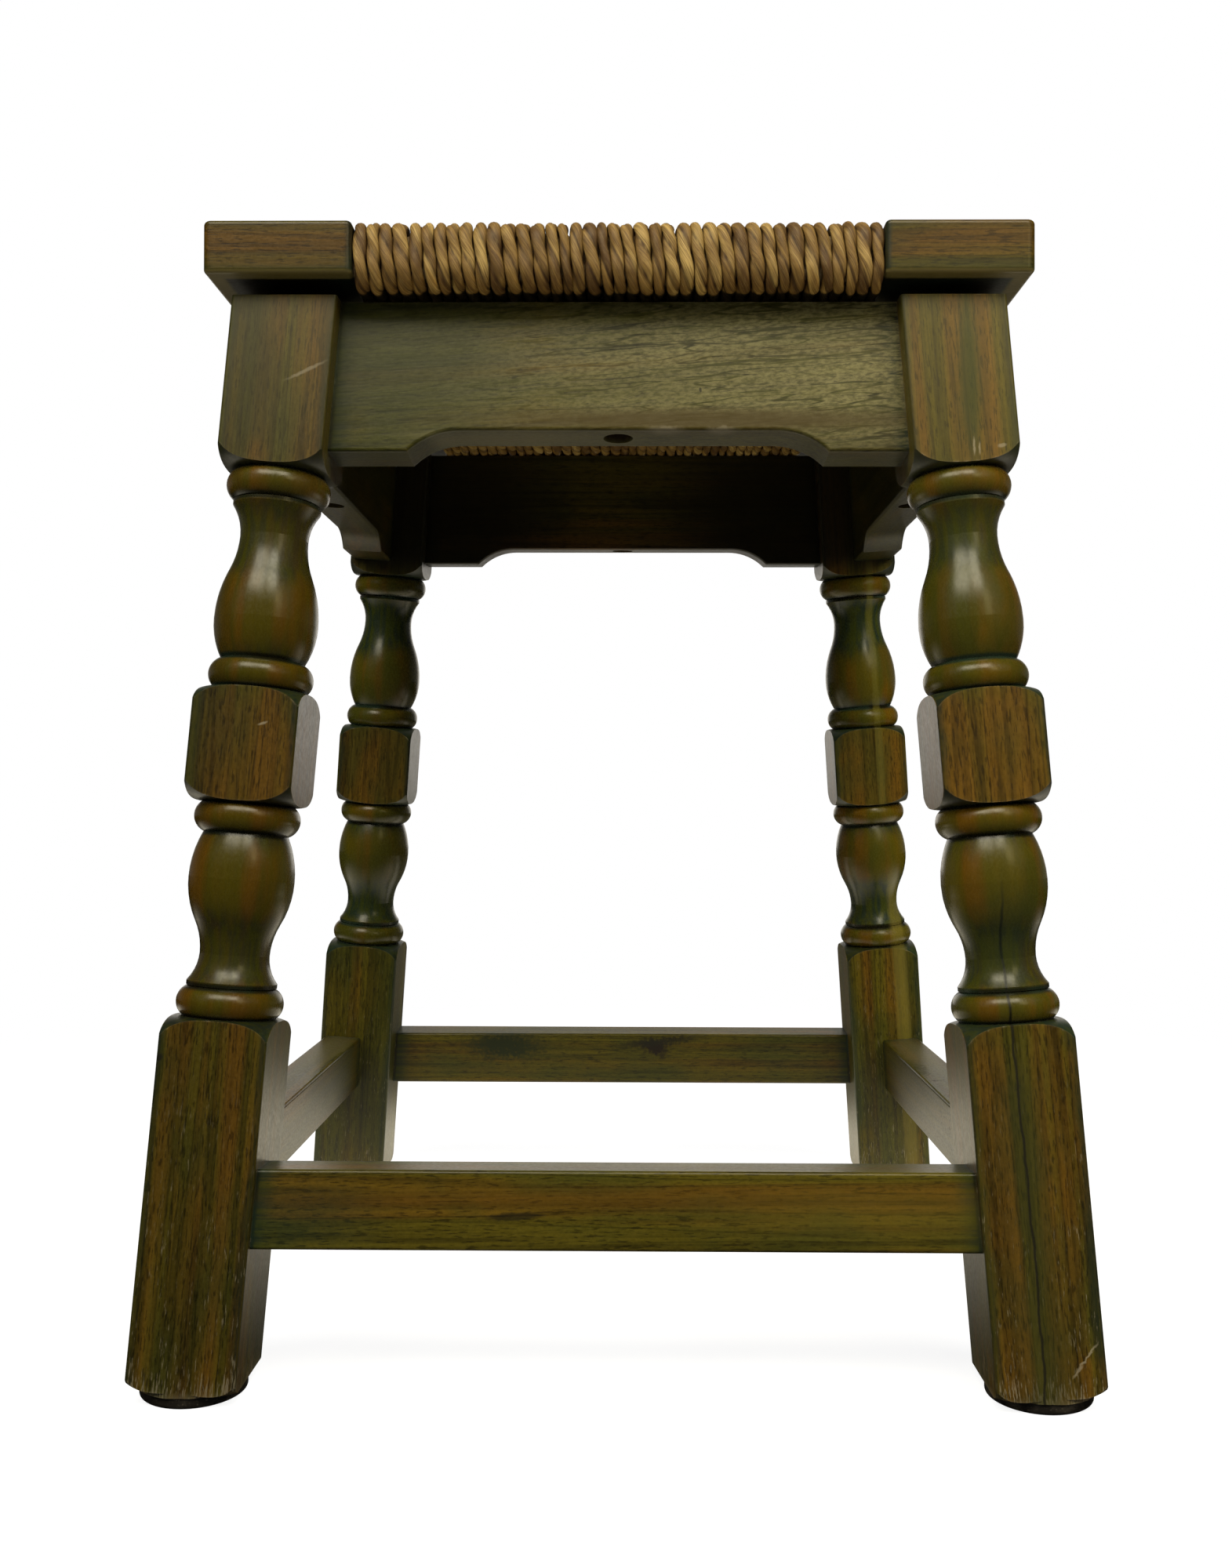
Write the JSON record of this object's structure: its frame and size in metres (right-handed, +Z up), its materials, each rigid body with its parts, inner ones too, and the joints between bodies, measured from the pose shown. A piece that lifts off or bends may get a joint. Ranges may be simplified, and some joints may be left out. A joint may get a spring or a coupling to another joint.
{
  "type": "stool",
  "caption": "Square wooden stool with splayed turned legs, arched aprons, a box stretcher and a woven rush seat with wooden corner blocks.",
  "frame": {"origin": "on the floor under the middle of the seat", "axes": "+Z up, -Y towards the front, +X to the right of someone who faces the front"},
  "size_m": [0.3974, 0.3974, 0.4962],
  "materials": {
    "leg_wood": "olive green stain over amber grain, satin gloss",
    "rail_wood": "olive green stain, satin gloss",
    "block_wood": "olive brown stain, satin gloss",
    "plain_wood": "bare planed wood",
    "rush": "twisted rush cord, tan to brown, dry satin",
    "glide": "dark brown, dull",
    "steel": "dulled steel"
  },
  "bodies": {
    "root": {"leg_front_right": "leg_wood", "leg_rear_right": "leg_wood", "leg_rear_left": "leg_wood", "leg_front_left": "leg_wood", "apron_front": "rail_wood", "apron_right": "rail_wood", "apron_rear": "rail_wood", "apron_left": "rail_wood", "stretcher_front": "rail_wood", "stretcher_right": "rail_wood", "stretcher_rear": "rail_wood", "stretcher_left": "rail_wood", "corner_block_front_right": "block_wood", "corner_block_rear_right": "block_wood", "corner_block_rear_left": "block_wood", "corner_block_front_left": "block_wood", "seat_rail_front": "plain_wood", "seat_rail_right": "plain_wood", "seat_rail_rear": "plain_wood", "seat_rail_left": "plain_wood", "rush_seat": "rush", "glide_front_right": "glide", "glide_rear_right": "glide", "glide_rear_left": "glide", "glide_front_left": "glide", "apron_dowels": "plain_wood", "stretcher_dowels": "plain_wood", "seat_screws": "steel", "glide_nails": "steel"}
  },
  "joints": []
}
